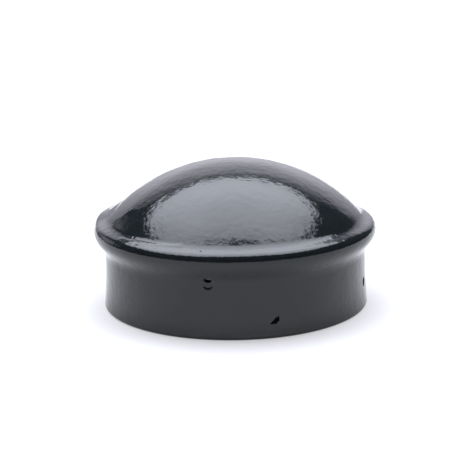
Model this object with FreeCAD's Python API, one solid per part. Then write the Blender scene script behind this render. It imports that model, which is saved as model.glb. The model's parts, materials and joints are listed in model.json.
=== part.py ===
import FreeCAD, Part

import math
import os

# Round fence post cap: a domed casting that slips over the end of a round steel post and is held
# there by three socket grub screws in its skirt, each with a soft tip that bears on the post.
# All sizes are in millimetres. Z is up, and the origin is the centre of the open mouth.

# The post, and the room that the cap leaves round it
POST_DIAMETER = 76.1
POST_CLEARANCE = 1.35

# Skirt: the straight band round the post, slightly waisted
SKIRT_WALL = 4.8
SOCKET_DEPTH = 24.0
WAIST_BAND = 1.5
MOUTH_FLARE = 0.65
MOUTH_EDGE_ROUND = 0.8
MOUTH_LEAD_IN = 1.0

# Brim: the rounded shelf at the foot of the dome
BRIM_OVERHANG = 3.5
BRIM_HEIGHT = 26.0
BRIM_EDGE_ROUND = 3.0
BRIM_SLOPE_DEG = 22.0
BRIM_UNDER_ROUND = 5.0
BRIM_UNDER_SLOPE_DEG = 36.0

# Dome: a part of a sphere that rises from the brim to the cap's full height
CAP_HEIGHT = 49.0
DOME_FOOT_INSET = 4.4
DOME_WALL = 4.0
DOME_FOOT_ROUND = 6.0

# Seat: the inner shoulder that the end of the post meets
SEAT_WIDTH = 3.4
SEAT_EDGE_ROUND = 0.8
CROWN_CORNER_ROUND = 3.0

# Grub screws (M4, flat ended) and the tapped holes that they sit in
SCREW_HEIGHT = 18.4
SCREW_DIAMETER = 4.0
SCREW_LENGTH = 3.0
SCREW_CHAMFER = 0.35
THREAD_CLEARANCE = 0.05
HOLE_BREAK = 0.2
HEX_ACROSS_FLATS = 2.0
HEX_DEPTH = 1.2
DRILL_POINT_DEG = 118.0

# Soft tips: a head on the end of each screw and a stem that goes into it
TIP_HEAD_DIAMETER = 3.0
TIP_HEAD_THICKNESS = 0.4
TIP_STEM_DIAMETER = 2.3
TIP_STEM_LENGTH = 0.8
TIP_CLEARANCE = 0.05
TIP_EDGE_ROUND = 0.12

SCREW_ANGLES_DEG = {"front": -90.0, "rear_right": 30.0, "rear_left": 150.0}

# Worked out from the sizes above
SOCKET_RADIUS = POST_DIAMETER / 2 + POST_CLEARANCE
WAIST_RADIUS = SOCKET_RADIUS + SKIRT_WALL
MOUTH_RADIUS = WAIST_RADIUS + MOUTH_FLARE
BRIM_RADIUS = WAIST_RADIUS + BRIM_OVERHANG
SEAT_INNER_RADIUS = SOCKET_RADIUS - SEAT_WIDTH
BRIM_SLOPE = math.radians(BRIM_SLOPE_DEG)
BRIM_EDGE_X = BRIM_RADIUS - BRIM_EDGE_ROUND * (1 - math.sin(BRIM_SLOPE))
BRIM_EDGE_Z = BRIM_HEIGHT + BRIM_EDGE_ROUND * math.cos(BRIM_SLOPE)
UNDER_SLOPE = math.radians(BRIM_UNDER_SLOPE_DEG)
UNDER_IN = BRIM_UNDER_ROUND * (1 - math.cos(UNDER_SLOPE))
UNDER_DOWN = BRIM_UNDER_ROUND * math.sin(UNDER_SLOPE)
WAIST_TOP = BRIM_HEIGHT - 2 * UNDER_DOWN - (BRIM_OVERHANG - 2 * UNDER_IN) / math.tan(UNDER_SLOPE)
WAIST_BOTTOM = WAIST_TOP - WAIST_BAND
DOME_FOOT_RADIUS = BRIM_RADIUS - DOME_FOOT_INSET
DOME_RISE = CAP_HEIGHT - BRIM_EDGE_Z - (BRIM_EDGE_X - DOME_FOOT_RADIUS) * math.tan(BRIM_SLOPE)
DOME_RADIUS = (DOME_FOOT_RADIUS ** 2 + DOME_RISE ** 2) / (2 * DOME_RISE)
DOME_CENTRE_Z = CAP_HEIGHT - DOME_RADIUS
HOLE_RADIUS = SCREW_DIAMETER / 2 + THREAD_CLEARANCE

# A screw lies along X, at these distances from the cap's axis, before it is turned to its angle
TIP_FACE_X = SOCKET_RADIUS + TIP_CLEARANCE
SCREW_INNER_X = TIP_FACE_X + TIP_HEAD_THICKNESS
SCREW_OUTER_X = SCREW_INNER_X + SCREW_LENGTH

Z_AXIS = FreeCAD.Vector(0, 0, 1)
X_AXIS = FreeCAD.Vector(1, 0, 0)
ORIGIN = FreeCAD.Vector(0, 0, 0)


def point(radius, height):
    """A point of the half section, in the XZ plane."""
    return FreeCAD.Vector(radius, 0, height)


def line(start, end):
    """A straight edge of the half section."""
    return Part.LineSegment(start, end).toShape()


def arc(centre, start, end):
    """The shorter arc about centre from start to end, which are equally far from it."""
    middle = (start - centre) + (end - centre)
    middle = middle.normalize() * (start - centre).Length
    return Part.Arc(start, centre + middle, end).toShape()


def flare_centre(height, offset):
    """Radius of the arc that leaves the vertical and moves sideways by offset over height."""
    return (height ** 2 + offset ** 2) / (2 * offset)


def skirt_outline():
    """Outer edges from the mouth's face up to the widest line of the brim."""
    mouth = point(MOUTH_RADIUS, 0)
    waist_low = point(WAIST_RADIUS, WAIST_BOTTOM)
    waist_high = point(WAIST_RADIUS, WAIST_TOP)
    widest = point(BRIM_RADIUS, BRIM_HEIGHT)
    mouth_arc = flare_centre(WAIST_BOTTOM, MOUTH_FLARE)
    # A round, a straight slope and a round lead from the waist out to the brim
    slope_low = point(WAIST_RADIUS + UNDER_IN, WAIST_TOP + UNDER_DOWN)
    slope_high = point(BRIM_RADIUS - UNDER_IN, BRIM_HEIGHT - UNDER_DOWN)
    return [
        line(point(SOCKET_RADIUS + MOUTH_LEAD_IN, 0), mouth),
        arc(point(WAIST_RADIUS + mouth_arc, WAIST_BOTTOM), mouth, waist_low),
        line(waist_low, waist_high),
        arc(point(WAIST_RADIUS + BRIM_UNDER_ROUND, WAIST_TOP), waist_high, slope_low),
        line(slope_low, slope_high),
        arc(point(BRIM_RADIUS - BRIM_UNDER_ROUND, BRIM_HEIGHT), slope_high, widest),
    ]


def crown_outline():
    """Outer edges from the widest line of the brim, over the dome, to the axis."""
    outward = point(math.sin(BRIM_SLOPE), math.cos(BRIM_SLOPE))
    uphill = point(-math.cos(BRIM_SLOPE), math.sin(BRIM_SLOPE))
    shelf_outer = point(BRIM_EDGE_X, BRIM_EDGE_Z)
    # The foot's arc rests on the shelf from above, and on the dome's sphere from outside, so its
    # centre is DOME_FOOT_ROUND off the shelf and that much further than the sphere from the dome's
    dome_centre = point(0, DOME_CENTRE_Z)
    start = shelf_outer + outward * DOME_FOOT_ROUND - dome_centre
    reach = DOME_RADIUS + DOME_FOOT_ROUND
    along = start.dot(uphill)
    run = -along - math.sqrt(along ** 2 - start.dot(start) + reach ** 2)
    if run < 0:
        run = -along + math.sqrt(along ** 2 - start.dot(start) + reach ** 2)
    shelf_inner = shelf_outer + uphill * run
    foot_centre = shelf_inner + outward * DOME_FOOT_ROUND
    dome_foot = dome_centre + (foot_centre - dome_centre).normalize() * DOME_RADIUS
    edge_centre = point(BRIM_RADIUS - BRIM_EDGE_ROUND, BRIM_HEIGHT)
    return [
        arc(edge_centre, point(BRIM_RADIUS, BRIM_HEIGHT), shelf_outer),
        line(shelf_outer, shelf_inner),
        arc(foot_centre, shelf_inner, dome_foot),
        arc(dome_centre, dome_foot, point(0, CAP_HEIGHT)),
    ]


def inner_outline():
    """Inner edges from the top of the hollow, down past the seat, to the mouth."""
    hollow_radius = DOME_RADIUS - DOME_WALL
    hollow_top = point(0, CAP_HEIGHT - DOME_WALL)
    corner_z = DOME_CENTRE_Z + math.sqrt(hollow_radius ** 2 - SEAT_INNER_RADIUS ** 2)
    corner = point(SEAT_INNER_RADIUS, corner_z)
    seat_inner = point(SEAT_INNER_RADIUS, SOCKET_DEPTH)
    seat_outer = point(SOCKET_RADIUS, SOCKET_DEPTH)
    lead_in = point(SOCKET_RADIUS, MOUTH_LEAD_IN)
    return [
        line(point(0, CAP_HEIGHT), hollow_top),
        arc(point(0, DOME_CENTRE_Z), hollow_top, corner),
        line(corner, seat_inner),
        line(seat_inner, seat_outer),
        line(seat_outer, lead_in),
        line(lead_in, point(SOCKET_RADIUS + MOUTH_LEAD_IN, 0)),
    ]


def circle_edges(shape, radius, low, high):
    """The level circles of this radius whose height is between low and high."""
    found = []
    for edge in shape.Edges:
        box = edge.BoundBox
        if box.ZLength > 1e-6 or not low <= box.ZMin <= high:
            continue
        if abs(box.XMax - radius) < 1e-4:
            found.append(edge)
    return found


def rounded(shape, radius, low, high, size):
    """The shape with its circle of this radius, between low and high, rounded off."""
    return shape.makeFillet(size, circle_edges(shape, radius, low, high))


def round_bar(radius, start, end):
    """A cylinder along X from start to end, at the height of the screws."""
    base = FreeCAD.Vector(start, 0, SCREW_HEIGHT)
    return Part.makeCylinder(radius, end - start, base, X_AXIS)


def tapped_hole():
    """What one tapped hole takes out of the skirt, along X."""
    hole = round_bar(HOLE_RADIUS, SEAT_INNER_RADIUS, BRIM_RADIUS)
    # The break is a cone that is HOLE_BREAK wider than the hole where it meets the waist
    depth = BRIM_RADIUS - WAIST_RADIUS + HOLE_BREAK
    start = FreeCAD.Vector(WAIST_RADIUS - HOLE_BREAK, 0, SCREW_HEIGHT)
    cone = Part.makeCone(HOLE_RADIUS, HOLE_RADIUS + depth, depth, start, X_AXIS)
    return hole.fuse(cone)


def turned(shape, degrees):
    """A copy of the shape turned about the cap's axis."""
    copy = shape.copy()
    copy.rotate(ORIGIN, Z_AXIS, degrees)
    return copy


def cap_casting():
    """Dome, brim, skirt and post seat in one casting, with a tapped hole for each screw."""
    outline = Part.Wire(skirt_outline() + crown_outline() + inner_outline())
    body = Part.Face(outline).revolve(ORIGIN, Z_AXIS, 360)
    body = rounded(body, MOUTH_RADIUS, -0.1, 0.1, MOUTH_EDGE_ROUND)
    seat_low = SOCKET_DEPTH - 0.1
    body = rounded(body, SEAT_INNER_RADIUS, seat_low, SOCKET_DEPTH + 0.1, SEAT_EDGE_ROUND)
    body = rounded(body, SEAT_INNER_RADIUS, SOCKET_DEPTH + 1, CAP_HEIGHT, CROWN_CORNER_ROUND)
    for degrees in SCREW_ANGLES_DEG.values():
        body = body.cut(turned(tapped_hole(), degrees))
    return body


def hex_socket():
    """The key's socket in the outer end of a screw, with the drill's cone below it."""
    corner_radius = HEX_ACROSS_FLATS / math.sqrt(3)
    corners = []
    for step in range(7):
        angle = math.radians(60 * step)
        corners.append(FreeCAD.Vector(
            SCREW_OUTER_X,
            corner_radius * math.cos(angle),
            SCREW_HEIGHT + corner_radius * math.sin(angle)))
    prism = Part.Face(Part.makePolygon(corners)).extrude(X_AXIS * -HEX_DEPTH)
    bottom = FreeCAD.Vector(SCREW_OUTER_X - HEX_DEPTH, 0, SCREW_HEIGHT)
    drill_radius = HEX_ACROSS_FLATS / 2
    drill_depth = drill_radius / math.tan(math.radians(DRILL_POINT_DEG / 2))
    point_cone = Part.makeCone(drill_radius, 0, drill_depth, bottom, X_AXIS * -1)
    return prism.fuse(point_cone)


def grub_screw():
    """A headless screw along X: chamfered ends, a hex socket, and a blind hole for its tip."""
    bar = round_bar(SCREW_DIAMETER / 2, SCREW_INNER_X, SCREW_OUTER_X)
    ends = [e for e in bar.Edges if isinstance(e.Curve, Part.Circle)]
    bar = bar.makeChamfer(SCREW_CHAMFER, ends)
    stem_hole = round_bar(
        TIP_STEM_DIAMETER / 2 + TIP_CLEARANCE,
        SCREW_INNER_X,
        SCREW_INNER_X + TIP_STEM_LENGTH + TIP_CLEARANCE)
    return bar.cut(hex_socket()).cut(stem_hole)


def screw_tip():
    """A soft tip along X: a flat head that bears on the post, and a stem inside the screw."""
    head = round_bar(TIP_HEAD_DIAMETER / 2, TIP_FACE_X, SCREW_INNER_X)
    face_edge = [e for e in head.Edges if e.BoundBox.XMax < TIP_FACE_X + 1e-4]
    head = head.makeFillet(TIP_EDGE_ROUND, face_edge)
    stem = round_bar(TIP_STEM_DIAMETER / 2, SCREW_INNER_X, SCREW_INNER_X + TIP_STEM_LENGTH)
    return head.fuse(stem).removeSplitter()


def main():
    """Writes one STEP file for each piece of the cap."""
    os.makedirs("parts", exist_ok=True)
    pieces = {"cap_casting": cap_casting()}
    for place, degrees in SCREW_ANGLES_DEG.items():
        pieces["grub_screw_" + place] = turned(grub_screw(), degrees)
        pieces["screw_tip_" + place] = turned(screw_tip(), degrees)
    for name, shape in pieces.items():
        shape.exportStep("parts/" + name + ".step")
        print(name, "solids", len(shape.Solids), "valid", shape.isValid(), "mm3", round(shape.Volume, 2))


main()
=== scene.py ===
"""Looks of the round fence post cap: a glossy coated casting and the three grub screws in its skirt.

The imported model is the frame. Lengths are in metres, Z is up, and the origin is the centre of the open
mouth. Each sub-assembly is a class that builds its own meshes and dresses them.
"""

from __future__ import annotations

import json
import logging
import math
from dataclasses import dataclass, field
from enum import Enum
from typing import ClassVar

import bmesh
import bpy
from mathutils import Euler, Matrix, Vector

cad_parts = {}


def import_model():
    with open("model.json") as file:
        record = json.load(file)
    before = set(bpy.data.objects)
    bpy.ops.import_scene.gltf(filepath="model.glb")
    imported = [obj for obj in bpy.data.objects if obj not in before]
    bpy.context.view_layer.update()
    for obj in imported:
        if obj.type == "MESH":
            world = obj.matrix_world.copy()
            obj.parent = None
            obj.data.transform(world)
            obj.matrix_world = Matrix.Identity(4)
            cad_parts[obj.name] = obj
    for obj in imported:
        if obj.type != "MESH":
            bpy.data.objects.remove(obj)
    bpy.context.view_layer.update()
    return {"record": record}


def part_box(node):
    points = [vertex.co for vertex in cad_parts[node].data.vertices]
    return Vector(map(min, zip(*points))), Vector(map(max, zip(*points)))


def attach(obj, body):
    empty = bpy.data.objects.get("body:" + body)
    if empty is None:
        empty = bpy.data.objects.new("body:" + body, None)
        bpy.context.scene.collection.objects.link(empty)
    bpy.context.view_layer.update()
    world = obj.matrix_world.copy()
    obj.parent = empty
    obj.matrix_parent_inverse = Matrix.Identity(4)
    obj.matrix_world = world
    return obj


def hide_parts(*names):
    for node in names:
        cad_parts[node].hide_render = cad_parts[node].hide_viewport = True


MM = 0.001
LOG = logging.getLogger("fence_post_cap")

# Two places closer than this are one place, and an edge shorter than this is a sliver
SAME = 1e-7
# Points of a spun or wound mesh are welded within these distances
WELD = 0.002 * MM
FINE_WELD = 0.001 * MM
# A face faces a direction when its normal leans that far into it
FACING = 0.9
# How far a cutter stands out past what it cuts
OVERSHOOT = 1.0 * MM
BALL_SEGMENTS = 96
# Spans of a noise's values: all that they cover, what leaves wide patches, and what leaves specks
WHOLE = (0.3, 0.7)
PATCHY = (0.35, 0.7)
SPECKLED = (0.5, 0.72)

Colour = tuple[float, float, float]
Section = list[tuple[float, float]]


# ---------------------------------------------------------------------------------------------
# Modelling by hand: short names for the operators that every piece uses
# ---------------------------------------------------------------------------------------------


def deselect_all() -> None:
    """Leaves edit mode and selects nothing."""
    if bpy.context.object and bpy.context.object.mode != "OBJECT":
        bpy.ops.object.mode_set(mode="OBJECT")
    bpy.ops.object.select_all(action="DESELECT")


def make_active(piece: bpy.types.Object) -> None:
    """Selects this object alone and makes it the active one."""
    deselect_all()
    piece.select_set(True)
    bpy.context.view_layer.objects.active = piece


def edit(piece: bpy.types.Object, mode: str = "VERT") -> bmesh.types.BMesh:
    """Opens a piece in edit mode with nothing selected.

    Args:
        piece: the mesh object to edit.
        mode: what is selected by hand: VERT, EDGE or FACE.

    Returns:
        The edit mesh, in which code selects what the next operator acts on.
    """
    make_active(piece)
    bpy.ops.object.mode_set(mode="EDIT")
    bpy.ops.mesh.select_mode(type=mode)
    bpy.ops.mesh.select_all(action="DESELECT")
    return bmesh.from_edit_mesh(piece.data)


def show_selection(piece: bpy.types.Object) -> None:
    """Flushes a selection made in code to the edit mesh."""
    bmesh.from_edit_mesh(piece.data).select_flush_mode()
    bmesh.update_edit_mesh(piece.data)


def leave_edit() -> None:
    """Goes back to object mode."""
    bpy.ops.object.mode_set(mode="OBJECT")


def apply_place(piece: bpy.types.Object) -> None:
    """Moves the object's place, turn and scale into its mesh."""
    make_active(piece)
    bpy.ops.object.transform_apply(location=True, rotation=True, scale=True)


def apply_modifier(piece: bpy.types.Object, modifier: bpy.types.Modifier) -> None:
    """Applies one modifier to its piece."""
    make_active(piece)
    bpy.ops.object.modifier_apply(modifier=modifier.name)


def remove(piece: bpy.types.Object) -> None:
    """Deletes a helper object together with its mesh."""
    mesh = piece.data
    bpy.data.objects.remove(piece, do_unlink=True)
    bpy.data.meshes.remove(mesh)


def named(piece: bpy.types.Object, name: str) -> bpy.types.Object:
    """Gives an object and its mesh one name, and returns the object."""
    piece.name = name
    piece.data.name = name
    return piece


def bar(name: str, radius: float, start: float, end: float, sides: int) -> bpy.types.Object:
    """A closed round bar along Z.

    Args:
        name: the object's name.
        radius: the bar's radius.
        start: height of its lower end.
        end: height of its upper end.
        sides: how many faces go round it.

    Returns:
        The bar, at the origin, with its place in its mesh.
    """
    deselect_all()
    bpy.ops.mesh.primitive_cylinder_add(
        vertices=sides, radius=radius, depth=end - start, location=(0, 0, (start + end) / 2))
    piece = named(bpy.context.object, name)
    apply_place(piece)
    return piece


def cut(piece: bpy.types.Object, cutter: bpy.types.Object) -> None:
    """Takes the cutter's shape out of the piece, and deletes the cutter."""
    modifier = piece.modifiers.new("cut", "BOOLEAN")
    modifier.operation = "DIFFERENCE"
    modifier.solver = "EXACT"
    modifier.object = cutter
    apply_modifier(piece, modifier)
    remove(cutter)


def drop_slivers(piece: bpy.types.Object) -> None:
    """Dissolves the faces without any area that cutting leaves behind."""
    edit(piece)
    bpy.ops.mesh.select_all(action="SELECT")
    bpy.ops.mesh.remove_doubles(threshold=SAME)
    bpy.ops.mesh.dissolve_degenerate(threshold=SAME)
    leave_edit()


def smooth(piece: bpy.types.Object, degrees: float) -> None:
    """Shades a piece smooth, with a crease wherever faces meet at more than this angle."""
    make_active(piece)
    bpy.ops.object.shade_smooth_by_angle(angle=math.radians(degrees))


def copy_of(piece: bpy.types.Object, name: str) -> bpy.types.Object:
    """A copy of a piece with its own mesh."""
    twin = piece.copy()
    twin.data = piece.data.copy()
    bpy.context.scene.collection.objects.link(twin)
    return named(twin, name)


def arc(centre: tuple[float, float], radius: float, start: float, end: float, step: float) -> Section:
    """Points of an arc in a half section.

    Args:
        centre: the arc's centre, as distance from the axis and height.
        radius: the arc's radius.
        start: angle of the first point, in degrees above the outward direction.
        end: angle of the last point.
        step: the longest distance between two points.

    Returns:
        The points from start to end, both ends among them.
    """
    length = abs(math.radians(end - start)) * radius
    count = max(2, math.ceil(length / step))
    points = []
    for index in range(count + 1):
        angle = math.radians(start + (end - start) * index / count)
        points.append((centre[0] + radius * math.cos(angle), centre[1] + radius * math.sin(angle)))
    return points


def line(start: tuple[float, float], end: tuple[float, float], step: float) -> Section:
    """Points of a straight stretch of a half section, both ends among them."""
    count = max(1, math.ceil(math.dist(start, end) / step))
    return [
        (start[0] + (end[0] - start[0]) * i / count, start[1] + (end[1] - start[1]) * i / count)
        for i in range(count + 1)]


def joined(*stretches: Section) -> Section:
    """One run of points from several, with the points that two stretches share kept once."""
    run: Section = []
    for stretch in stretches:
        for spot in stretch:
            if not run or math.dist(run[-1], spot) > SAME:
                run.append(spot)
    return run


def turned_shell(name: str, section: Section, steps: int) -> bpy.types.Object:
    """Draws a half section vertex by vertex and spins it about Z into a closed shell.

    Args:
        name: the object's name.
        section: the half section's points, which start and end on the axis.
        steps: how many stretches go round the axis.

    Returns:
        The shell, with its doubles merged and its faces pointing outwards.
    """
    deselect_all()
    radius, height = section[0]
    bpy.ops.mesh.primitive_plane_add(size=MM, location=(radius, 0, height))
    piece = named(bpy.context.object, name)
    apply_place(piece)
    edit(piece)
    bpy.ops.mesh.select_all(action="SELECT")
    bpy.ops.mesh.merge(type="CENTER")
    for (r0, z0), (r1, z1) in zip(section, section[1:]):
        bpy.ops.mesh.extrude_region_move(TRANSFORM_OT_translate={"value": (r1 - r0, 0, z1 - z0)})
    bpy.ops.mesh.select_all(action="SELECT")
    bpy.ops.mesh.spin(steps=steps, angle=2 * math.pi, center=(0, 0, 0), axis=(0, 0, 1))
    bpy.ops.mesh.select_all(action="SELECT")
    bpy.ops.mesh.remove_doubles(threshold=WELD)
    bpy.ops.mesh.normals_make_consistent(inside=False)
    leave_edit()
    return piece


# ---------------------------------------------------------------------------------------------
# Finishes
# ---------------------------------------------------------------------------------------------


class Nodes:
    """A material's node tree, with a short way to add a node and to join two sockets."""

    def __init__(self, name: str) -> None:
        """Starts a new material that holds a Principled shader and its output."""
        self.material = bpy.data.materials.new(name)
        self.material.use_nodes = True
        self.tree = self.material.node_tree
        self.shader = self.tree.nodes["Principled BSDF"]
        self.place = self.add("ShaderNodeTexCoord").outputs["Object"]

    def add(self, kind: str, **values: object) -> bpy.types.Node:
        """Adds a node.

        Args:
            kind: the node's Blender type.
            values: properties of the node, or values of its inputs where no property has that name.

        Returns:
            The new node.
        """
        node = self.tree.nodes.new(kind)
        for key, value in values.items():
            if hasattr(node, key):
                setattr(node, key, value)
            else:
                node.inputs[key.replace("_", " ").title()].default_value = value
        return node

    def join(self, source: bpy.types.NodeSocket, target: bpy.types.NodeSocket) -> None:
        """Links an output to an input."""
        self.tree.links.new(source, target)

    def noise(self, size: float, detail: float = 2.0, roughness: float = 0.5) -> bpy.types.NodeSocket:
        """Soft random noise.

        Args:
            size: the width of one patch of the noise, in metres.
            detail: how many finer layers lie on top of it.
            roughness: how strong the finer layers are.

        Returns:
            The noise's value, about 0.5 in the middle.
        """
        node = self.add("ShaderNodeTexNoise", scale=1 / size, detail=detail, roughness=roughness)
        self.join(self.place, node.inputs["Vector"])
        return node.outputs["Fac"]

    def ramp(self, source: bpy.types.NodeSocket, span: tuple[float, float],
             to: tuple[float, float] = (0.0, 1.0)) -> bpy.types.NodeSocket:
        """Maps a value from one span to another, and holds it at the ends."""
        node = self.add("ShaderNodeMapRange", clamp=True)
        for key, value in zip(("From Min", "From Max", "To Min", "To Max"), (*span, *to)):
            node.inputs[key].default_value = value
        self.join(source, node.inputs["Value"])
        return node.outputs["Result"]

    def mix(self, factor: bpy.types.NodeSocket, first: Colour, second: Colour) -> bpy.types.NodeSocket:
        """Mixes two colours by a factor."""
        node = self.add("ShaderNodeMix", data_type="RGBA")
        self.join(factor, node.inputs["Factor"])
        node.inputs["A"].default_value = (*first, 1)
        node.inputs["B"].default_value = (*second, 1)
        return node.outputs["Result"]

    def bump(self, height: bpy.types.NodeSocket, depth: float,
             under: bpy.types.NodeSocket | None = None) -> bpy.types.NodeSocket:
        """A bump of this depth, in metres, on top of another one if it is given."""
        node = self.add("ShaderNodeBump")
        node.inputs["Strength"].default_value = 1.0
        node.inputs["Distance"].default_value = depth
        self.join(height, node.inputs["Height"])
        if under is not None:
            self.join(under, node.inputs["Normal"])
        return node.outputs["Normal"]


@dataclass(frozen=True)
class GlossCoat:
    """The thick black coating: nearly black, very glossy, and wavy like orange peel."""

    colour: Colour = (0.0070, 0.0100, 0.0115)
    worn: Colour = (0.0095, 0.0125, 0.0140)
    patch_width: float = 9.0 * MM
    rough: tuple[float, float] = (0.07, 0.14)
    rough_width: float = 5.0 * MM
    refraction: float = 1.46
    peel_width: float = 2.2 * MM
    peel_depth: float = 0.085 * MM
    grain_width: float = 1.0 * MM
    grain_depth: float = 0.034 * MM

    def material(self) -> bpy.types.Material:
        """Builds the node tree of the coating."""
        nodes = Nodes("gloss_black_coat")
        patches = nodes.ramp(nodes.noise(self.patch_width, detail=3.0), PATCHY)
        nodes.join(nodes.mix(patches, self.colour, self.worn), nodes.shader.inputs["Base Color"])
        rough = nodes.ramp(nodes.noise(self.rough_width, detail=4.0, roughness=0.6), WHOLE, self.rough)
        nodes.join(rough, nodes.shader.inputs["Roughness"])
        nodes.shader.inputs["IOR"].default_value = self.refraction
        peel = nodes.bump(nodes.noise(self.peel_width, detail=1.0, roughness=0.4), self.peel_depth)
        grain = nodes.bump(nodes.noise(self.grain_width, detail=1.0), self.grain_depth, peel)
        nodes.join(grain, nodes.shader.inputs["Normal"])
        return nodes.material


@dataclass(frozen=True)
class BareInside:
    """The thin, dull and speckled film of coating inside the socket and under the dome."""

    colour: Colour = (0.022, 0.023, 0.024)
    dust: Colour = (0.060, 0.060, 0.058)
    speck_width: float = 1.6 * MM
    rough: tuple[float, float] = (0.38, 0.62)
    rough_width: float = 4.0 * MM
    cast_width: float = 1.1 * MM
    cast_depth: float = 0.10 * MM

    def material(self) -> bpy.types.Material:
        """Builds the node tree of the inside."""
        nodes = Nodes("dull_black_inside")
        specks = nodes.ramp(nodes.noise(self.speck_width, detail=5.0, roughness=0.7), SPECKLED)
        nodes.join(nodes.mix(specks, self.colour, self.dust), nodes.shader.inputs["Base Color"])
        dull = nodes.ramp(nodes.noise(self.rough_width, detail=3.0), WHOLE, self.rough)
        nodes.join(dull, nodes.shader.inputs["Roughness"])
        cast = nodes.bump(nodes.noise(self.cast_width, detail=4.0, roughness=0.6), self.cast_depth)
        nodes.join(cast, nodes.shader.inputs["Normal"])
        return nodes.material


@dataclass(frozen=True)
class BareIron:
    """The dark, rough metal at the bottom of a chip or pit, where the coating is missing."""

    colour: Colour = (0.0035, 0.0032, 0.0030)
    rust: Colour = (0.0060, 0.0048, 0.0040)
    spot_width: float = 0.5 * MM
    spot_span: tuple[float, float] = (0.45, 0.65)
    shine: float = 0.15
    rough: tuple[float, float] = (0.75, 0.95)
    rough_width: float = 0.3 * MM
    grit_width: float = 0.35 * MM
    grit_depth: float = 0.05 * MM

    def material(self) -> bpy.types.Material:
        """Builds the node tree of the bare metal."""
        nodes = Nodes("bare_dark_iron")
        spots = nodes.ramp(nodes.noise(self.spot_width, detail=4.0, roughness=0.6), self.spot_span)
        nodes.join(nodes.mix(spots, self.colour, self.rust), nodes.shader.inputs["Base Color"])
        nodes.shader.inputs["Specular IOR Level"].default_value = self.shine
        rough = nodes.ramp(nodes.noise(self.rough_width, detail=3.0), WHOLE, self.rough)
        nodes.join(rough, nodes.shader.inputs["Roughness"])
        grit = nodes.bump(nodes.noise(self.grit_width, detail=3.0), self.grit_depth)
        nodes.join(grit, nodes.shader.inputs["Normal"])
        return nodes.material


@dataclass(frozen=True)
class ScrewSteel:
    """Black oxide on hardened steel, a little browner and shinier where it is worn."""

    colour: Colour = (0.045, 0.045, 0.048)
    worn: Colour = (0.16, 0.15, 0.14)
    wear_width: float = 0.7 * MM
    wear_span: tuple[float, float] = (0.5, 0.75)
    rough: tuple[float, float] = (0.28, 0.5)
    rough_width: float = 0.35 * MM
    mark_width: float = 0.12 * MM
    mark_depth: float = 0.006 * MM

    def material(self) -> bpy.types.Material:
        """Builds the node tree of the screws' steel."""
        nodes = Nodes("screw_steel")
        nodes.shader.inputs["Metallic"].default_value = 1.0
        wear = nodes.ramp(nodes.noise(self.wear_width, detail=5.0, roughness=0.65), self.wear_span)
        nodes.join(nodes.mix(wear, self.colour, self.worn), nodes.shader.inputs["Base Color"])
        rough = nodes.ramp(nodes.noise(self.rough_width, detail=3.0), WHOLE, self.rough)
        nodes.join(rough, nodes.shader.inputs["Roughness"])
        marks = nodes.bump(nodes.noise(self.mark_width, detail=2.0), self.mark_depth)
        nodes.join(marks, nodes.shader.inputs["Normal"])
        return nodes.material


@dataclass(frozen=True)
class Nylon:
    """Plain natural nylon: off-white, matt and slightly translucent."""

    colour: Colour = (0.78, 0.75, 0.66)
    shade: Colour = (0.66, 0.62, 0.52)
    cloud_width: float = 0.9 * MM
    rough: tuple[float, float] = (0.42, 0.6)
    rough_width: float = 0.4 * MM
    glow_through: float = 0.15
    glow_reach: tuple[float, float, float] = (0.6 * MM, 0.5 * MM, 0.35 * MM)
    grain_width: float = 0.15 * MM
    grain_depth: float = 0.004 * MM

    def material(self) -> bpy.types.Material:
        """Builds the node tree of the tips' nylon."""
        nodes = Nodes("natural_nylon")
        clouds = nodes.ramp(nodes.noise(self.cloud_width, detail=4.0), PATCHY)
        nodes.join(nodes.mix(clouds, self.colour, self.shade), nodes.shader.inputs["Base Color"])
        matt = nodes.ramp(nodes.noise(self.rough_width, detail=2.0), WHOLE, self.rough)
        nodes.join(matt, nodes.shader.inputs["Roughness"])
        nodes.shader.inputs["Subsurface Weight"].default_value = self.glow_through
        nodes.shader.inputs["Subsurface Radius"].default_value = self.glow_reach
        grain = nodes.bump(nodes.noise(self.grain_width, detail=2.0), self.grain_depth)
        nodes.join(grain, nodes.shader.inputs["Normal"])
        return nodes.material


# ---------------------------------------------------------------------------------------------
# The casting
# ---------------------------------------------------------------------------------------------


class Pit(Enum):
    """The shape of a blemish in the coating."""

    ROUND = "a shallow round pit"
    CHIP = "a three-cornered chip"


@dataclass(frozen=True)
class Mark:
    """One blemish: where it is, measured from the cap's axis, and how large."""

    # A face belongs to the blemish within this share of its width
    REACH: ClassVar[float] = 0.8
    # Its floor lies deeper than this share of its depth
    FLOOR_SHARE: ClassVar[float] = 0.5

    shape: Pit
    degrees: float
    height: float
    radius: float
    width: float
    depth: float
    bare: bool = True

    def holds(self, spot: Vector, normal: Vector) -> bool:
        """Tells whether a face shows the bare metal of the blemish.

        Args:
            spot: the face's centre.
            normal: the face's normal.

        Returns:
            True for a wall or the floor of a blemish that goes through the coating.
        """
        turn = math.radians(self.degrees)
        outward = Vector((math.cos(turn), math.sin(turn), 0))
        away = (spot - outward * self.radius - Vector((0, 0, self.height))).length
        wall = normal.dot(outward) < FACING
        floor = spot.dot(outward) < self.radius - self.FLOOR_SHARE * self.depth
        return self.bare and away < self.REACH * self.width and (wall or floor)


class Side(Enum):
    """Which side of the casting a face belongs to, as its material's index."""

    OUTSIDE = 0
    INSIDE = 1
    BARE = 2


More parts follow.
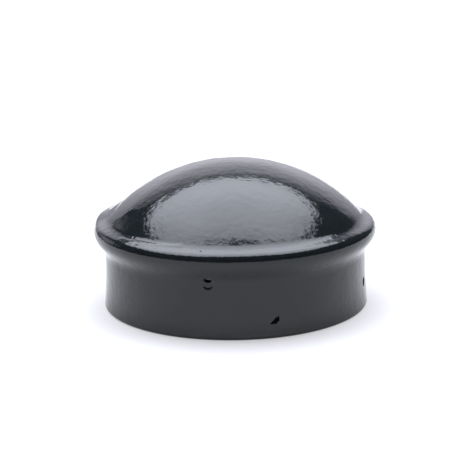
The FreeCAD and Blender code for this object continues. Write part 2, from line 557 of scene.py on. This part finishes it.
@dataclass
class Casting:
    """Dome, brim and skirt in one coated casting, with a hole for each grub screw."""

    socket_radius: float
    height: float
    hole_height: float
    hole_angles: dict[str, float]
    wall: float = 4.8 * MM
    socket_depth: float = 24.0 * MM
    lead_in: float = 1.0 * MM
    mouth_flare: float = 0.65 * MM
    mouth_round: float = 0.8 * MM
    waist_band: float = 1.5 * MM
    brim_overhang: float = 3.5 * MM
    brim_height: float = 26.0 * MM
    brim_round: float = 3.0 * MM
    brim_slope: float = 22.0
    under_round: float = 5.0 * MM
    under_slope: float = 36.0
    foot_inset: float = 4.4 * MM
    foot_round: float = 6.0 * MM
    dome_wall: float = 4.0 * MM
    seat_width: float = 3.4 * MM
    seat_round: float = 0.8 * MM
    hole_radius: float = 2.05 * MM
    skinned: str = "screw_front"
    skin: float = 0.55 * MM
    dish_radius: float = 2.15 * MM
    dish_round: float = 0.5 * MM
    dish_depth: float = 0.33 * MM
    dish_shank: float = 2.0 * MM
    gap_width: float = 2.6 * MM
    gap_height: float = 1.65 * MM
    gap_lift: float = 1.1 * MM
    hump_towards: float = 168.0
    hump_half_width: float = 15.0
    hump_height: float = 1.35 * MM
    hump_fade: float = 11.0 * MM
    hump_band: tuple[float, float] = (0.8, 0.3)
    run_degrees: tuple[float, float] = (-133.0, -102.0)
    run_radii: tuple[float, float] = (45.2 * MM, 43.4 * MM)
    run_width: float = 0.32 * MM
    run_height: float = 0.20 * MM
    run_fade: float = 1.0 * MM
    run_steps: int = 40
    chip_length: float = 2.0 * MM
    chip_turn: float = -45.0
    flare_at_chip: float = 0.24 * MM
    flare_at_pit: float = 0.17 * MM
    lip_rounds: float = 1.5
    outer_step: float = 0.55 * MM
    inner_step: float = 2.5 * MM
    lip_step: float = 1.0 * MM
    around: int = 420
    hole_sides: int = 48
    gap_sides: int = 32
    crease_degrees: float = 35.0
    skin_band: float = 0.5 * MM
    mouth_margin: float = 0.1 * MM
    wave_width: float = 7.0 * MM
    wave_depth: float = 0.10 * MM
    peel_width: float = 2.6 * MM
    peel_depth: float = 0.020 * MM
    waist: float = field(init=False)
    brim: float = field(init=False)
    seat_inner: float = field(init=False)
    sphere_radius: float = field(init=False)
    sphere_height: float = field(init=False)
    marks: list[Mark] = field(init=False)
    piece: bpy.types.Object = field(init=False)

    def __post_init__(self) -> None:
        """Works out the radii that follow from the driving sizes, and where the marks are."""
        self.waist = self.socket_radius + self.wall
        self.brim = self.waist + self.brim_overhang
        self.seat_inner = self.socket_radius - self.seat_width
        shelf_outer = self.shelf_outer()
        foot_x = self.brim - self.foot_inset
        slope = math.radians(self.brim_slope)
        rise = self.height - shelf_outer.y - (shelf_outer.x - foot_x) * math.tan(slope)
        self.sphere_radius = (foot_x ** 2 + rise ** 2) / (2 * rise)
        self.sphere_height = self.height - self.sphere_radius
        at_chip = self.waist + self.flare_at_chip
        self.marks = [
            Mark(Pit.CHIP, degrees=-62.7, height=5.65 * MM, radius=at_chip, width=3.6 * MM, depth=0.8 * MM),
            Mark(Pit.CHIP, degrees=-61.5, height=6.15 * MM, radius=at_chip, width=2.7 * MM, depth=0.8 * MM),
            Mark(Pit.ROUND, degrees=-3.5, height=9.1 * MM, radius=self.waist + self.flare_at_pit,
                 width=3.2 * MM, depth=0.9 * MM),
            Mark(Pit.ROUND, degrees=-92.4, height=29.25 * MM, radius=44.85 * MM,
                 width=0.7 * MM, depth=0.3 * MM, bare=False),
        ]

    def shelf_outer(self) -> Vector:
        """Where the brim's sloping upper side meets its rounded edge, in the half section."""
        slope = math.radians(self.brim_slope)
        edge = Vector((self.brim - self.brim_round, self.brim_height))
        return edge + self.brim_round * Vector((math.sin(slope), math.cos(slope)))

    def skirt_section(self) -> Section:
        """Draws the outer skirt, from the widest line of the brim down to the mouth.

        Returns:
            The points of its half section.
        """
        slope = math.radians(self.under_slope)
        inward = self.under_round * (1 - math.cos(slope))
        down = self.under_round * math.sin(slope)
        top = self.brim_height - 2 * down - (self.brim_overhang - 2 * inward) / math.tan(slope)
        bottom = top - self.waist_band
        flare = (bottom ** 2 + self.mouth_flare ** 2) / (2 * self.mouth_flare)
        round_top = self.mouth_round
        drop = math.degrees(math.asin((bottom - round_top) / flare))
        flare_centre = (self.waist + flare, bottom)
        corner_x = flare_centre[0] - flare * math.cos(math.radians(drop))
        return joined(
            arc((self.brim - self.under_round, self.brim_height), self.under_round,
                0, -self.under_slope, self.outer_step),
            line((self.brim - inward, self.brim_height - down),
                 (self.waist + inward, top + down), self.outer_step),
            arc((self.waist + self.under_round, top), self.under_round,
                180 - self.under_slope, 180, self.outer_step),
            line((self.waist, top), (self.waist, bottom), self.outer_step),
            arc(flare_centre, flare, 180, 180 + drop, self.outer_step),
            arc((corner_x - round_top, round_top), round_top, 0, -90, self.outer_step / 3),
        )

    def crown_section(self) -> Section:
        """Draws the dome and the brim's upper side, from the axis outwards.

        Returns:
            The points of their half section.
        """
        slope = math.radians(self.brim_slope)
        shelf_outer = self.shelf_outer()
        outward = Vector((math.sin(slope), math.cos(slope)))
        uphill = Vector((-math.cos(slope), math.sin(slope)))
        centre = Vector((0, self.sphere_height))
        # The foot's arc rests on the shelf from above, and on the sphere from outside
        start = shelf_outer + outward * self.foot_round - centre
        along = start.dot(uphill)
        reach = self.sphere_radius + self.foot_round
        run = -along - math.sqrt(along ** 2 - start.length_squared + reach ** 2)
        foot = shelf_outer + uphill * run + outward * self.foot_round
        lean = math.degrees(math.atan2(foot.y - centre.y, foot.x))
        return joined(
            arc(tuple(centre), self.sphere_radius, 90, lean, self.outer_step),
            arc(tuple(foot), self.foot_round, 180 + lean, 270 - self.brim_slope, self.outer_step / 2),
            line(tuple(shelf_outer + uphill * run), tuple(shelf_outer), self.outer_step),
            arc((self.brim - self.brim_round, self.brim_height), self.brim_round,
                90 - self.brim_slope, 0, self.outer_step / 2),
        )

    def inner_section(self) -> Section:
        """Draws the inside, from the mouth up to the axis.

        Returns:
            The points of its half section.
        """
        hollow = self.sphere_radius - self.dome_wall
        fall = math.degrees(math.acos(self.seat_inner / hollow))
        corner = self.sphere_height + hollow * math.sin(math.radians(fall))
        seat = self.seat_round
        bore = self.socket_radius
        return joined(
            line((bore + self.lead_in, 0), (bore, self.lead_in), self.lip_step),
            line((bore, self.lead_in), (bore, self.socket_depth), self.inner_step),
            line((bore, self.socket_depth), (self.seat_inner + seat, self.socket_depth), self.lip_step),
            arc((self.seat_inner + seat, self.socket_depth + seat), seat, 270, 180, seat / 3),
            line((self.seat_inner, self.socket_depth + seat), (self.seat_inner, corner), self.inner_step),
            arc((0, self.sphere_height), hollow, fall, 90, self.inner_step),
        )

    def outer_group(self) -> None:
        """Marks the outer skin, which alone carries the coating's waves, as a vertex group."""
        group = self.piece.vertex_groups.new(name="skin")
        edge = self.waist + self.mouth_flare - self.lip_rounds * self.mouth_round
        for vertex in self.piece.data.vertices:
            radius = math.hypot(vertex.co.x, vertex.co.y)
            from_centre = math.hypot(radius, vertex.co.z - self.sphere_height)
            above = from_centre > self.sphere_radius - self.skin_band
            beside = radius > edge and vertex.co.z > self.mouth_round
            if above or beside:
                group.add([vertex.index], 1.0, "REPLACE")

    def waves(self, width: float, depth: float) -> None:
        """Raises and sinks the outer skin in soft waves.

        Args:
            width: the width of one wave.
            depth: the distance from the lowest to the highest place.
        """
        clouds = bpy.data.textures.new("coating_waves", "CLOUDS")
        clouds.noise_scale = width
        clouds.noise_depth = 1
        modifier = self.piece.modifiers.new("waves", "DISPLACE")
        modifier.texture = clouds
        modifier.texture_coords = "LOCAL"
        modifier.direction = "NORMAL"
        modifier.mid_level = 1.0
        modifier.strength = depth
        modifier.vertex_group = "skin"
        apply_modifier(self.piece, modifier)

    def aimed(self, cutter: bpy.types.Object, degrees: float, height: float) -> bpy.types.Object:
        """Turns a cutter that lies along Z to point out of the skirt.

        Args:
            cutter: the cutter, with its length along Z, measured from the cap's axis.
            degrees: the direction that it points in, from +X towards +Y.
            height: the height that its axis gets.

        Returns:
            The cutter, with its place in its mesh.
        """
        turn = Matrix.Rotation(math.radians(degrees), 4, "Z") @ Matrix.Rotation(math.radians(90), 4, "Y")
        cutter.matrix_world = Matrix.Translation((0, 0, height)) @ turn
        apply_place(cutter)
        return cutter

    def open_hole(self, degrees: float) -> None:
        """Cuts a tapped hole right through the skirt, in this direction from +X towards +Y."""
        hole = bar("hole", self.hole_radius, self.seat_inner, self.brim, self.hole_sides)
        cut(self.piece, self.aimed(hole, degrees, self.hole_height))

    def skinned_hole(self, degrees: float) -> None:
        """Cuts the hole that the coating has skinned over: a dish, and an oval gap high in it.

        Args:
            degrees: the direction of the hole, from +X towards +Y.
        """
        hole = bar("hole", self.hole_radius, self.seat_inner, self.waist - self.skin, self.hole_sides)
        cut(self.piece, self.aimed(hole, degrees, self.hole_height))
        deselect_all()
        bpy.ops.mesh.primitive_uv_sphere_add(
            segments=BALL_SEGMENTS, ring_count=BALL_SEGMENTS // 2, radius=1)
        dish = named(bpy.context.object, "dish")
        dish.scale = (self.dish_radius, self.dish_radius, self.dish_round)
        apply_place(dish)
        mesh = edit(dish)
        for vertex in mesh.verts:
            vertex.select = vertex.co.z > -SAME
        show_selection(dish)
        bpy.ops.transform.translate(value=(0, 0, self.dish_shank))
        leave_edit()
        dish.location = (0, 0, self.waist + self.dish_round - self.dish_depth)
        apply_place(dish)
        cut(self.piece, self.aimed(dish, degrees, self.hole_height))
        gap = bar("gap", 1.0, self.waist - 2 * self.skin, self.waist + OVERSHOOT, self.gap_sides)
        gap.scale = (self.gap_height / 2, self.gap_width / 2, 1)
        apply_place(gap)
        cut(self.piece, self.aimed(gap, degrees, self.hole_height + self.gap_lift))

    def cut_mark(self, mark: Mark) -> None:
        """Cuts one pit or chip out of the coating.

        Args:
            mark: the blemish: a ball cuts a round pit, and a three-sided bar cuts a chip.
        """
        deselect_all()
        if mark.shape is Pit.ROUND:
            ball = (mark.width ** 2 / 4 + mark.depth ** 2) / (2 * mark.depth)
            bpy.ops.mesh.primitive_uv_sphere_add(
                segments=BALL_SEGMENTS, ring_count=BALL_SEGMENTS, radius=ball)
            tool = named(bpy.context.object, "pit")
            tool.location = (0, 0, mark.radius - mark.depth + ball)
        else:
            bpy.ops.mesh.primitive_cylinder_add(
                vertices=3, radius=mark.width / math.sqrt(3), depth=self.chip_length)
            tool = named(bpy.context.object, "chip")
            tool.location = (0, 0, mark.radius - mark.depth + self.chip_length / 2)
            tool.scale = (1, 1 / math.sqrt(3), 1)
            tool.rotation_euler = (0, 0, math.radians(self.chip_turn))
        apply_place(tool)
        cut(self.piece, self.aimed(tool, mark.degrees, mark.height))

    def lift_brim(self) -> None:
        """Lifts the brim's upper side a little where the coating has gathered."""
        inner, outer = (self.brim - share * self.brim_round for share in self.hump_band)
        mesh = edit(self.piece)
        for vertex in mesh.verts:
            turn = math.degrees(math.atan2(vertex.co.y, vertex.co.x)) - self.hump_towards
            near = abs((turn + 180) % 360 - 180) < self.hump_half_width
            radius = math.hypot(vertex.co.x, vertex.co.y)
            vertex.select = near and inner < radius < outer and vertex.co.z > self.brim_height
        show_selection(self.piece)
        bpy.ops.transform.translate(
            value=(0, 0, self.hump_height),
            use_proportional_edit=True, use_proportional_connected=True,
            proportional_edit_falloff="SMOOTH", proportional_size=self.hump_fade)
        leave_edit()

    def pull_run(self) -> None:
        """Raises the narrow run that the coating left along the brim's upper side."""
        start, end = self.run_degrees
        outer, inner = self.run_radii
        path = []
        for index in range(self.run_steps + 1):
            turn = math.radians(start + (end - start) * index / self.run_steps)
            radius = outer + (inner - outer) * index / self.run_steps
            path.append(Vector((radius * math.cos(turn), radius * math.sin(turn))))
        mesh = edit(self.piece)
        for vertex in mesh.verts:
            if vertex.co.z > self.brim_height and vertex.co.xy.length > inner - self.run_fade:
                vertex.select = min((vertex.co.xy - spot).length for spot in path) < self.run_width
        show_selection(self.piece)
        bpy.ops.transform.translate(
            value=(0, 0, self.run_height),
            use_proportional_edit=True, use_proportional_connected=True,
            proportional_edit_falloff="SMOOTH", proportional_size=self.run_fade)
        leave_edit()

    def build(self) -> bpy.types.Object:
        """Models the casting.

        Returns:
            The finished mesh object.
        """
        section = joined(self.crown_section(), self.skirt_section(), self.inner_section())
        self.piece = turned_shell("cap_casting_coated", section, self.around)
        self.outer_group()
        self.waves(self.wave_width, self.wave_depth)
        self.waves(self.peel_width, self.peel_depth)
        self.lift_brim()
        self.pull_run()
        for body, degrees in self.hole_angles.items():
            if body == self.skinned:
                self.skinned_hole(degrees)
            else:
                self.open_hole(degrees)
        for mark in self.marks:
            self.cut_mark(mark)
        drop_slivers(self.piece)
        smooth(self.piece, self.crease_degrees)
        return self.piece

    def dress(self) -> None:
        """Gives the outside its gloss coat, the inside its dull film and the chips their bare metal."""
        self.piece.data.materials.clear()
        self.piece.data.materials.append(GlossCoat().material())
        self.piece.data.materials.append(BareInside().material())
        self.piece.data.materials.append(BareIron().material())
        hollow = self.sphere_radius - self.dome_wall / 2
        for face in self.piece.data.polygons:
            spot = face.center
            radius = math.hypot(spot.x, spot.y)
            under = math.hypot(radius, spot.z - self.sphere_height) < hollow
            within = radius < self.socket_radius + self.wall / 2
            inside = under and within and spot.z > self.mouth_margin
            side = Side.INSIDE if inside else Side.OUTSIDE
            if any(mark.holds(spot, face.normal) for mark in self.marks):
                side = Side.BARE
            face.material_index = side.value


# ---------------------------------------------------------------------------------------------
# Grub screws and their tips
# ---------------------------------------------------------------------------------------------


@dataclass
class GrubScrew:
    """A socket grub screw with a soft tip. Both are modelled along Z, inner end down."""

    radius: float = 2.0 * MM
    length: float = 3.0 * MM
    pitch: float = 0.7 * MM
    thread_depth: float = 0.40 * MM
    chamfer: float = 0.35 * MM
    socket_flats: float = 2.0 * MM
    socket_depth: float = 1.2 * MM
    stem_radius: float = 1.15 * MM
    stem_length: float = 0.8 * MM
    stem_room: float = 0.05 * MM
    head_radius: float = 1.5 * MM
    head_thickness: float = 0.4 * MM
    head_round: float = 0.12 * MM
    head_round_steps: int = 4
    sides: int = 64
    turn_steps: int = 48
    spare_turns: int = 4
    screw_crease: float = 25.0
    tip_crease: float = 30.0

    def thread(self) -> bpy.types.Object:
        """Winds a rod with a right-hand V thread.

        Returns:
            The rod, which is longer than the screw at both ends.
        """
        deselect_all()
        core = self.radius - self.thread_depth
        # An eighth of the pitch is flat at the crest, and as much at the root
        flat = self.pitch / 8
        below = -self.spare_turns / 2 * self.pitch
        bpy.ops.mesh.primitive_plane_add(size=MM, location=(core, 0, below))
        rod = named(bpy.context.object, "thread")
        apply_place(rod)
        edit(rod)
        bpy.ops.mesh.select_all(action="SELECT")
        bpy.ops.mesh.merge(type="CENTER")
        flank = (self.pitch - 2 * flat) / 2
        for out, up in ((0, flat), (self.thread_depth, flank), (0, flat), (-self.thread_depth, flank)):
            bpy.ops.mesh.extrude_region_move(TRANSFORM_OT_translate={"value": (out, 0, up)})
        leave_edit()
        winding = rod.modifiers.new("winding", "SCREW")
        winding.axis = "Z"
        winding.angle = 2 * math.pi
        winding.screw_offset = self.pitch
        winding.iterations = math.ceil(self.length / self.pitch) + self.spare_turns
        winding.steps = winding.render_steps = self.turn_steps
        winding.use_merge_vertices = True
        winding.merge_threshold = FINE_WELD
        apply_modifier(rod, winding)
        edit(rod)
        bpy.ops.mesh.select_all(action="SELECT")
        bpy.ops.mesh.remove_doubles(threshold=FINE_WELD)
        bpy.ops.mesh.fill_holes(sides=0)
        bpy.ops.mesh.select_all(action="SELECT")
        bpy.ops.mesh.normals_make_consistent(inside=False)
        leave_edit()
        return rod

    def blank(self) -> bpy.types.Object:
        """The plain bar that the screw is made from, with its chamfered ends."""
        rod = bar("blank", self.radius, 0, self.length, self.sides)
        mesh = edit(rod, "EDGE")
        for rim in mesh.edges:
            rim.select = abs(rim.verts[0].co.z - rim.verts[1].co.z) < SAME
        show_selection(rod)
        bpy.ops.mesh.bevel(offset=self.chamfer, segments=1, affect="EDGES")
        leave_edit()
        return rod

    def build_screw(self, name: str) -> bpy.types.Object:
        """Models the screw from its inner end at height 0.

        Args:
            name: the object's name.

        Returns:
            The finished screw.
        """
        screw = named(self.thread(), name)
        limit = screw.modifiers.new("length", "BOOLEAN")
        limit.operation = "INTERSECT"
        limit.solver = "EXACT"
        limit.object = self.blank()
        blank = limit.object
        apply_modifier(screw, limit)
        remove(blank)
        key = bar("key", self.socket_flats / math.sqrt(3), self.length - self.socket_depth,
                  self.length + OVERSHOOT, sides=6)
        cut(screw, key)
        blind = bar("blind", self.stem_radius + self.stem_room, -OVERSHOOT,
                    self.stem_length + self.stem_room, self.turn_steps)
        cut(screw, blind)
        drop_slivers(screw)
        smooth(screw, self.screw_crease)
        return screw

    def build_tip(self, name: str) -> bpy.types.Object:
        """Models the tip: its head below height 0, its stem above.

        Args:
            name: the object's name.

        Returns:
            The finished tip.
        """
        tip = bar(name, self.head_radius, -self.head_thickness, 0, self.sides)
        mesh = edit(tip, "FACE")
        for cap in mesh.faces:
            cap.select = cap.normal.z > FACING
        show_selection(tip)
        bpy.ops.mesh.inset(thickness=self.head_radius - self.stem_radius)
        bpy.ops.mesh.extrude_region_move(TRANSFORM_OT_translate={"value": (0, 0, self.stem_length)})
        bpy.ops.mesh.select_all(action="DESELECT")
        bpy.ops.mesh.select_mode(type="EDGE")
        mesh = bmesh.from_edit_mesh(tip.data)
        for rim in mesh.edges:
            rim.select = all(abs(v.co.z + self.head_thickness) < SAME for v in rim.verts)
        show_selection(tip)
        bpy.ops.mesh.bevel(offset=self.head_round, segments=self.head_round_steps, affect="EDGES")
        leave_edit()
        smooth(tip, self.tip_crease)
        return tip


# ---------------------------------------------------------------------------------------------
# Studio
# ---------------------------------------------------------------------------------------------


@dataclass
class Studio:
    """Pale floor, white boards behind, one large soft light overhead and behind, and the camera."""

    azimuth: float = 11.5
    elevation: float = 16.95
    distance: float = 516 * MM
    aim_height: float = 22.9 * MM
    roll: float = 0.92
    lens: float = 114.9
    sensor: float = 36.0
    near_clip: float = 10.0 * MM
    light_tilt: float = 77.6
    light_distance: float = 0.9
    light_aside: float = -0.045
    light_half_width: float = 0.78
    light_half_depth: float = 0.545
    light_strength: float = 6.4
    light_colour: Colour = (0.96, 0.99, 1.10)
    light_size: float = 2.2
    light_fall: tuple[float, float] = (0.15, 1.0)
    light_fall_share: float = 0.55
    light_rim: tuple[float, float] = (0.84, 1.08)
    floor_size: float = 5.0
    floor_grey: float = 0.45
    floor_glow: tuple[float, float] = (0.41, 0.85)
    floor_reach: tuple[float, float] = (0.15, 0.7)
    floor_tint: Colour = (1.0, 0.99, 1.0)
    board_distance: float = 1.2
    board_tint: Colour = (0.98, 0.97, 1.08)
    backdrop_height: float = 1.15
    backdrop_half_width: float = 0.9
    backdrop_glow: tuple[float, float] = (1.42, 0.50)
    backdrop_reach: tuple[float, float] = (0.55, 1.1)
    card_towards: float = 54.0
    card_height: float = 0.62
    card_half_width: float = 0.42
    card_glow: tuple[float, float] = (0.85, 0.0)
    card_reach: tuple[float, float] = (0.45, 1.1)
    air_colour: Colour = (0.9, 0.95, 1.0)
    air_strength: float = 0.06

    def backwards(self) -> Vector:
        """The level direction from the object towards the camera."""
        turn = math.radians(self.azimuth)
        return Vector((math.sin(turn), -math.cos(turn), 0))

    def camera(self) -> None:
        """Places the camera."""
        tilt = math.radians(self.elevation)
        place = (self.backwards() * math.cos(tilt) + Vector((0, 0, math.sin(tilt)))) * self.distance
        look = Vector((0, 0, self.aim_height)) - place
        data = bpy.data.cameras.new("camera")
        data.lens = self.lens
        data.sensor_width = self.sensor
        data.clip_start = self.near_clip
        view = bpy.data.objects.new("camera", data)
        bpy.context.scene.collection.objects.link(view)
        view.rotation_mode = "QUATERNION"
        turn = look.to_track_quat("-Z", "Y")
        roll = Euler((0, 0, -math.radians(self.roll))).to_quaternion()
        view.location = place
        view.rotation_quaternion = turn @ roll
        bpy.context.scene.camera = view

    def softbox(self) -> None:
        """Hangs the large soft light above and behind the object, brightest in its middle."""
        behind = -self.backwards()
        tilt = math.radians(self.light_tilt)
        place = (behind * math.cos(tilt) + Vector((0, 0, math.sin(tilt)))) * self.light_distance
        deselect_all()
        bpy.ops.mesh.primitive_plane_add(size=self.light_size)
        light = named(bpy.context.object, "softbox")
        nodes = Nodes("softbox_glow")
        # The length of the squared place is 1 along a rectangle with rounded corners
        square = nodes.add("ShaderNodeVectorMath", operation="MULTIPLY")
        nodes.join(nodes.place, square.inputs[0])
        nodes.join(nodes.place, square.inputs[1])
        out = nodes.add("ShaderNodeVectorMath", operation="LENGTH")
        nodes.join(square.outputs["Vector"], out.inputs[0])
        weakest = self.light_fall_share * self.light_strength
        fall = nodes.ramp(out.outputs["Value"], self.light_fall, (self.light_strength, weakest))
        edge = nodes.ramp(out.outputs["Value"], self.light_rim, (1.0, 0.0))
        glow = nodes.add("ShaderNodeMath", operation="MULTIPLY")
        nodes.join(fall, glow.inputs[0])
        nodes.join(edge, glow.inputs[1])
        nodes.shader.inputs["Base Color"].default_value = (0, 0, 0, 1)
        nodes.shader.inputs["Specular IOR Level"].default_value = 0.0
        nodes.shader.inputs["Emission Color"].default_value = (*self.light_colour, 1)
        nodes.join(glow.outputs["Value"], nodes.shader.inputs["Emission Strength"])
        light.data.materials.append(nodes.material)
        light.rotation_mode = "QUATERNION"
        light.rotation_quaternion = (-place).to_track_quat("-Z", "Y")
        light.location = place + self.backwards().cross(Vector((0, 0, 1))) * -self.light_aside
        light.scale = (self.light_half_width, self.light_half_depth, 1)

    def matt(self, name: str, grey: float, glow: tuple[float, float],
             reach: tuple[float, float], tint: Colour) -> bpy.types.Material:
        """A plain matt surface that also glows.

        Args:
            name: the material's name.
            grey: how light the surface is.
            glow: strength of the glow in its middle and far off.
            reach: the distances from the middle, between which the one becomes the other.
            tint: the glow's colour.

        Returns:
            The material.
        """
        nodes = Nodes(name)
        nodes.shader.inputs["Base Color"].default_value = (grey, grey, grey, 1)
        nodes.shader.inputs["Roughness"].default_value = 1.0
        nodes.shader.inputs["Specular IOR Level"].default_value = 0.0
        nodes.shader.inputs["Emission Color"].default_value = (*tint, 1)
        far = nodes.add("ShaderNodeVectorMath", operation="LENGTH")
        nodes.join(nodes.place, far.inputs[0])
        glows = nodes.ramp(far.outputs["Value"], reach, glow)
        nodes.join(glows, nodes.shader.inputs["Emission Strength"])
        return nodes.material

    def board(self, name: str, towards: float, half_width: float, height: float,
              material: bpy.types.Material) -> bpy.types.Object:
        """Stands a glowing board on the floor behind the object.

        Args:
            name: the object's name.
            towards: how far to the left of straight behind it stands, in degrees.
            half_width: half of the board's width.
            height: the board's height.
            material: what it is covered with.

        Returns:
            The board, which faces the object.
        """
        bpy.ops.mesh.primitive_plane_add(size=2.0)
        piece = named(bpy.context.object, name)
        piece.scale = (half_width, height / 2, 1)
        piece.rotation_euler = (math.pi / 2, 0, math.radians(self.azimuth + towards))
        behind = Matrix.Rotation(math.radians(towards), 3, "Z") @ -self.backwards()
        piece.location = behind * self.board_distance + Vector((0, 0, height / 2))
        piece.data.materials.append(material)
        return piece

    def sweep(self) -> None:
        """Lays the floor, and stands the white backdrop behind it and a smaller card to its left."""
        deselect_all()
        bpy.ops.mesh.primitive_plane_add(size=self.floor_size, location=(0, 0, 0))
        floor = named(bpy.context.object, "floor")
        floor.data.materials.append(self.matt(
            "pale_floor", self.floor_grey, self.floor_glow, self.floor_reach, self.floor_tint))
        white = self.matt("white_backdrop", 0.0, self.backdrop_glow, self.backdrop_reach, self.board_tint)
        backdrop = self.board("backdrop", 0.0, self.backdrop_half_width, self.backdrop_height, white)
        soft = self.matt("side_card", 0.0, self.card_glow, self.card_reach, self.board_tint)
        card = self.board("side_card", self.card_towards, self.card_half_width, self.card_height, soft)

    def world(self) -> None:
        """Sets the surroundings and how tones are shown."""
        world = bpy.data.worlds.new("studio")
        world.use_nodes = True
        air = world.node_tree.nodes["Background"]
        air.inputs["Color"].default_value = (*self.air_colour, 1)
        air.inputs["Strength"].default_value = self.air_strength
        bpy.context.scene.world = world
        bpy.context.scene.view_settings.view_transform = "Standard"
        bpy.context.scene.view_settings.look = "None"

    def build(self) -> None:
        """Sets up the whole studio."""
        self.camera()
        self.softbox()
        self.sweep()
        self.world()


def fit_screws(angles: dict[str, float]) -> None:
    """Models one screw and one tip, and puts a copy of each in every hole.

    Args:
        angles: the direction of each screw's hole, by the screw's body.
    """
    screw = GrubScrew()
    pattern_screw = screw.build_screw("screw_pattern")
    pattern_tip = screw.build_tip("tip_pattern")
    pattern_screw.data.materials.append(ScrewSteel().material())
    pattern_tip.data.materials.append(Nylon().material())
    for body, degrees in angles.items():
        place = body.removeprefix("screw_")
        low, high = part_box("grub_screw_" + place)
        middle = (Vector(low) + Vector(high)) / 2
        inner = math.hypot(middle.x, middle.y) - screw.length / 2
        turn = Matrix.Rotation(math.radians(degrees), 4, "Z") @ Matrix.Rotation(math.radians(90), 4, "Y")
        seat = Matrix.Translation((0, 0, middle.z)) @ turn @ Matrix.Translation((0, 0, inner))
        parts = (
            (pattern_screw, "grub_screw_" + place, body, "screw_steel"),
            (pattern_tip, "screw_tip_" + place, "tip_" + place, "nylon"))
        for pattern, node, rides_on, finish in parts:
            piece = copy_of(pattern, node + "_look")
            piece.matrix_world = seat
            apply_place(piece)
            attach(piece, rides_on)
            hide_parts(node)
            LOG.info("%s: %d faces", piece.name, len(piece.data.polygons))
    remove(pattern_screw)
    remove(pattern_tip)


def main() -> None:
    """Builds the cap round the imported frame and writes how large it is."""
    logging.basicConfig(level=logging.INFO, format="%(name)s: %(message)s")
    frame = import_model()
    record = frame["record"]
    socket = next(m for m in record["mounts"] if m["name"] == "post_socket")
    hinges = [j for j in record["behaviour"]["joints"] if j["type"] == "hinge"]
    angles = {j["child"]: math.degrees(math.atan2(j["pos_m"][1], j["pos_m"][0])) for j in hinges}
    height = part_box("cap_casting")[1][2]
    casting = Casting(socket["dims"]["r_mm"] * MM, height, hinges[0]["pos_m"][2], angles)
    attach(casting.build(), "cap")
    casting.dress()
    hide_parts("cap_casting")
    LOG.info("%s: %d faces", casting.piece.name, len(casting.piece.data.polygons))
    fit_screws(casting.hole_angles)
    Studio().build()


if __name__ == "__main__":
    main()
